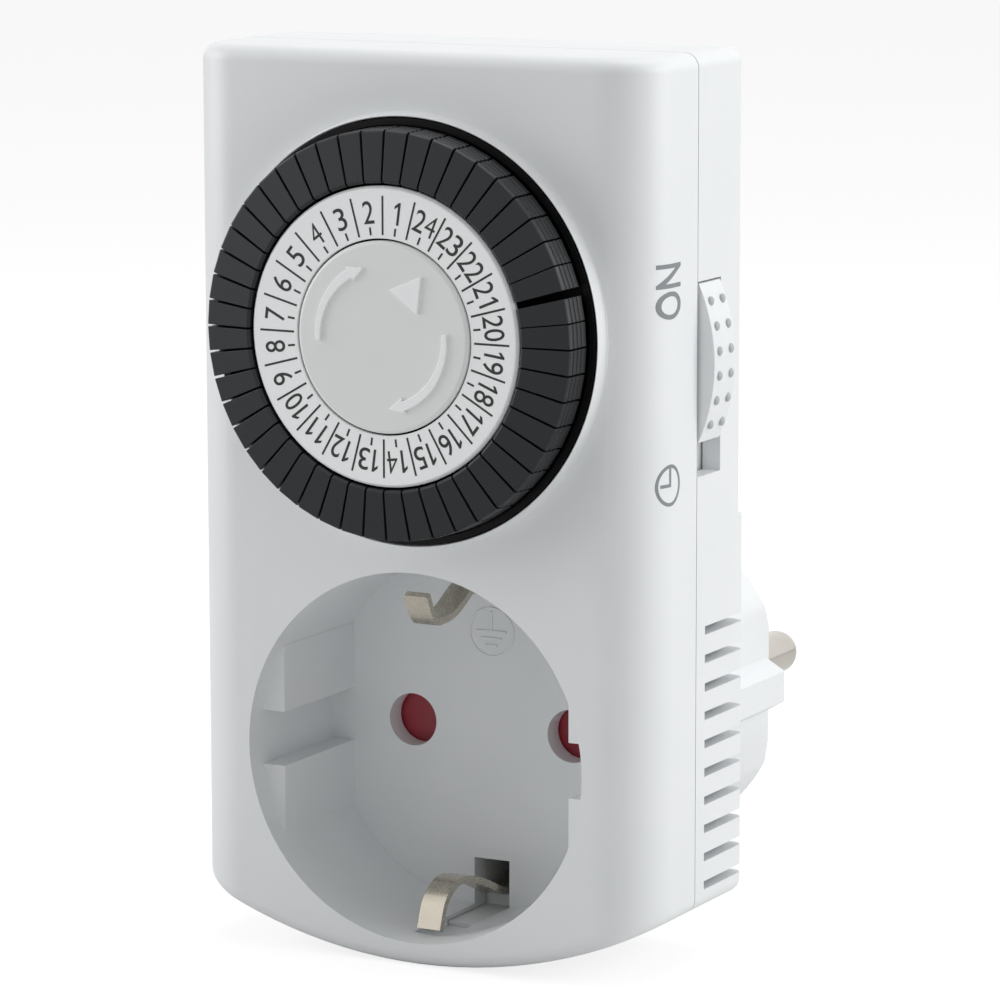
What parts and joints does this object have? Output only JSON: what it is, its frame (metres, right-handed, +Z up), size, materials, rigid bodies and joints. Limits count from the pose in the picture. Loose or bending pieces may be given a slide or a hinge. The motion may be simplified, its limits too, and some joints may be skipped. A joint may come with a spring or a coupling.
{
  "type": "plug-in timer switch",
  "caption": "Plug-in mechanical timer switch: earthed plug on the back, earthed socket with shutter and a segmented day dial on the front, mode slider on the side.",
  "frame": {"origin": "centre of the plug's face, midway between its two pins", "axes": "+X to the right seen from the front, +Y back along the plug's pins, +Z up towards the dial"},
  "size_m": [0.0554, 0.0774, 0.0948],
  "materials": {
    "shell": "satin white ABS moulding",
    "segment_plastic": "charcoal satin moulding",
    "drum_plastic": "glossy black moulding",
    "ring_plastic": "fine satin white moulding with printed numbers",
    "shutter_plastic": "red satin moulding",
    "gear_plastic": "natural acetal",
    "nickel": "nickel plated spring strip",
    "pin_metal": "nickel plated brass",
    "brass": "stamped brass",
    "steel": "zinc plated steel",
    "carrier_plastic": "grey heat-resisting moulding",
    "wire_sheath": "smooth brown insulation"
  },
  "bodies": {
    "case": {"front_case": "shell", "rear_case": "shell", "mechanism_plate": "steel", "dial_spindle": "steel", "centre_cap": "ring_plastic", "spindle_clip": "steel", "motor_housing": "steel", "motor_end_plate": "steel", "transfer_axle": "steel", "lever_pivot": "steel", "lever_spring": "nickel", "switch_base": "carrier_plastic", "fixed_contact": "brass", "load_wire": "wire_sheath", "contact_carrier": "carrier_plastic", "shutter_spring": "steel", "live_contact": "brass", "neutral_contact": "brass", "earth_strip": "nickel", "plug_earth_strips": "nickel", "live_pin": "pin_metal", "neutral_pin": "pin_metal", "live_wire": "wire_sheath", "motor_leads": "wire_sheath", "case_screws": "steel", "mechanism_screws": "steel"},
    "dial": {"dial_carrier": "drum_plastic", "hour_ring": "ring_plastic", "dial_gear": "gear_plastic", "friction_washer": "steel"},
    "transfer_wheel": {"transfer_wheel": "gear_plastic"},
    "motor_pinion": {"motor_pinion": "gear_plastic"},
    "mode_slider": {"mode_slider": "shell"},
    "switch_lever": {"switch_lever": "gear_plastic"},
    "contact_blade": {"contact_blade": "brass"},
    "socket_shutter": {"socket_shutter": "shutter_plastic"},
    "hour_01": {"segments_hour_01": "segment_plastic"},
    "hour_02": {"segments_hour_02": "segment_plastic"},
    "hour_03": {"segments_hour_03": "segment_plastic"},
    "hour_04": {"segments_hour_04": "segment_plastic"},
    "hour_05": {"segments_hour_05": "segment_plastic"},
    "hour_06": {"segments_hour_06": "segment_plastic"},
    "hour_07": {"segments_hour_07": "segment_plastic"},
    "hour_08": {"segments_hour_08": "segment_plastic"},
    "hour_09": {"segments_hour_09": "segment_plastic"},
    "hour_10": {"segments_hour_10": "segment_plastic"},
    "hour_11": {"segments_hour_11": "segment_plastic"},
    "hour_12": {"segments_hour_12": "segment_plastic"},
    "hour_13": {"segments_hour_13": "segment_plastic"},
    "hour_14": {"segments_hour_14": "segment_plastic"},
    "hour_15": {"segments_hour_15": "segment_plastic"},
    "hour_16": {"segments_hour_16": "segment_plastic"},
    "hour_17": {"segments_hour_17": "segment_plastic"},
    "hour_18": {"segments_hour_18": "segment_plastic"},
    "hour_19": {"segments_hour_19": "segment_plastic"},
    "hour_20": {"segments_hour_20": "segment_plastic"},
    "hour_21": {"segments_hour_21": "segment_plastic"},
    "hour_22": {"segments_hour_22": "segment_plastic"},
    "hour_23": {"segments_hour_23": "segment_plastic"},
    "hour_24": {"segments_hour_24": "segment_plastic"}
  },
  "joints": [
    {"name": "mode_slide", "type": "slide", "parent": "case", "child": "mode_slider", "axis": [0, 0, 1], "range_m": [-0.0035, 0]},
    {"name": "dial_turn", "type": "hinge", "parent": "case", "child": "dial", "pos_m": [0, -0.0524, 0.04448], "axis": [0, 1, 0], "continuous": true},
    {"name": "shutter_turn", "type": "hinge", "parent": "case", "child": "socket_shutter", "pos_m": [0, -0.0321, 0], "axis": [0, 1, 0], "range_deg": [0, 38], "stiffness_Nm_per_rad": 0.01, "springref_deg": -11.46},
    {"name": "transfer_turn", "type": "hinge", "parent": "case", "child": "transfer_wheel", "pos_m": [-0.00981, -0.0449, 0.05849], "axis": [0, 1, 0], "continuous": true},
    {"name": "motor_turn", "type": "hinge", "parent": "case", "child": "motor_pinion", "pos_m": [-0.00487, -0.0434, 0.04993], "axis": [0, 1, 0], "continuous": true},
    {"name": "lever_swing", "type": "hinge", "parent": "case", "child": "switch_lever", "pos_m": [0.0182, -0.0454, 0.031], "axis": [1, 0, 0], "range_deg": [0, 8.5]},
    {"name": "blade_flex", "type": "hinge", "parent": "case", "child": "contact_blade", "pos_m": [0.0182, -0.0428, 0.06], "axis": [1, 0, 0], "range_deg": [-6.5, 0]},
    {"name": "segments_01", "type": "slide", "parent": "dial", "child": "hour_01", "axis": [0, 1, 0], "range_m": [0, 0.002]},
    {"name": "segments_02", "type": "slide", "parent": "dial", "child": "hour_02", "axis": [0, 1, 0], "range_m": [0, 0.002]},
    {"name": "segments_03", "type": "slide", "parent": "dial", "child": "hour_03", "axis": [0, 1, 0], "range_m": [0, 0.002]},
    {"name": "segments_04", "type": "slide", "parent": "dial", "child": "hour_04", "axis": [0, 1, 0], "range_m": [0, 0.002]},
    {"name": "segments_05", "type": "slide", "parent": "dial", "child": "hour_05", "axis": [0, 1, 0], "range_m": [0, 0.002]},
    {"name": "segments_06", "type": "slide", "parent": "dial", "child": "hour_06", "axis": [0, 1, 0], "range_m": [0, 0.002]},
    {"name": "segments_07", "type": "slide", "parent": "dial", "child": "hour_07", "axis": [0, 1, 0], "range_m": [0, 0.002]},
    {"name": "segments_08", "type": "slide", "parent": "dial", "child": "hour_08", "axis": [0, 1, 0], "range_m": [0, 0.002]},
    {"name": "segments_09", "type": "slide", "parent": "dial", "child": "hour_09", "axis": [0, 1, 0], "range_m": [0, 0.002]},
    {"name": "segments_10", "type": "slide", "parent": "dial", "child": "hour_10", "axis": [0, 1, 0], "range_m": [0, 0.002]},
    {"name": "segments_11", "type": "slide", "parent": "dial", "child": "hour_11", "axis": [0, 1, 0], "range_m": [0, 0.002]},
    {"name": "segments_12", "type": "slide", "parent": "dial", "child": "hour_12", "axis": [0, 1, 0], "range_m": [0, 0.002]},
    {"name": "segments_13", "type": "slide", "parent": "dial", "child": "hour_13", "axis": [0, 1, 0], "range_m": [0, 0.002]},
    {"name": "segments_14", "type": "slide", "parent": "dial", "child": "hour_14", "axis": [0, 1, 0], "range_m": [0, 0.002]},
    {"name": "segments_15", "type": "slide", "parent": "dial", "child": "hour_15", "axis": [0, 1, 0], "range_m": [0, 0.002]},
    {"name": "segments_16", "type": "slide", "parent": "dial", "child": "hour_16", "axis": [0, 1, 0], "range_m": [0, 0.002]},
    {"name": "segments_17", "type": "slide", "parent": "dial", "child": "hour_17", "axis": [0, 1, 0], "range_m": [0, 0.002]},
    {"name": "segments_18", "type": "slide", "parent": "dial", "child": "hour_18", "axis": [0, 1, 0], "range_m": [0, 0.002]},
    {"name": "segments_19", "type": "slide", "parent": "dial", "child": "hour_19", "axis": [0, 1, 0], "range_m": [0, 0.002]},
    {"name": "segments_20", "type": "slide", "parent": "dial", "child": "hour_20", "axis": [0, 1, 0], "range_m": [0, 0.002]},
    {"name": "segments_21", "type": "slide", "parent": "dial", "child": "hour_21", "axis": [0, 1, 0], "range_m": [0, 0.002]},
    {"name": "segments_22", "type": "slide", "parent": "dial", "child": "hour_22", "axis": [0, 1, 0], "range_m": [0, 0.002]},
    {"name": "segments_23", "type": "slide", "parent": "dial", "child": "hour_23", "axis": [0, 1, 0], "range_m": [0, 0.002]},
    {"name": "segments_24", "type": "slide", "parent": "dial", "child": "hour_24", "axis": [0, 1, 0], "range_m": [0, 0.002]}
  ],
  "couplings": [
    {"joint": "transfer_turn", "follows": "dial_turn", "ratio": -8},
    {"joint": "motor_turn", "follows": "dial_turn", "ratio": 26.667},
    {"joint": "lever_swing", "follows": "mode_slide", "rad_per_m": -42.382},
    {"joint": "blade_flex", "follows": "mode_slide", "rad_per_m": 32.41}
  ]
}
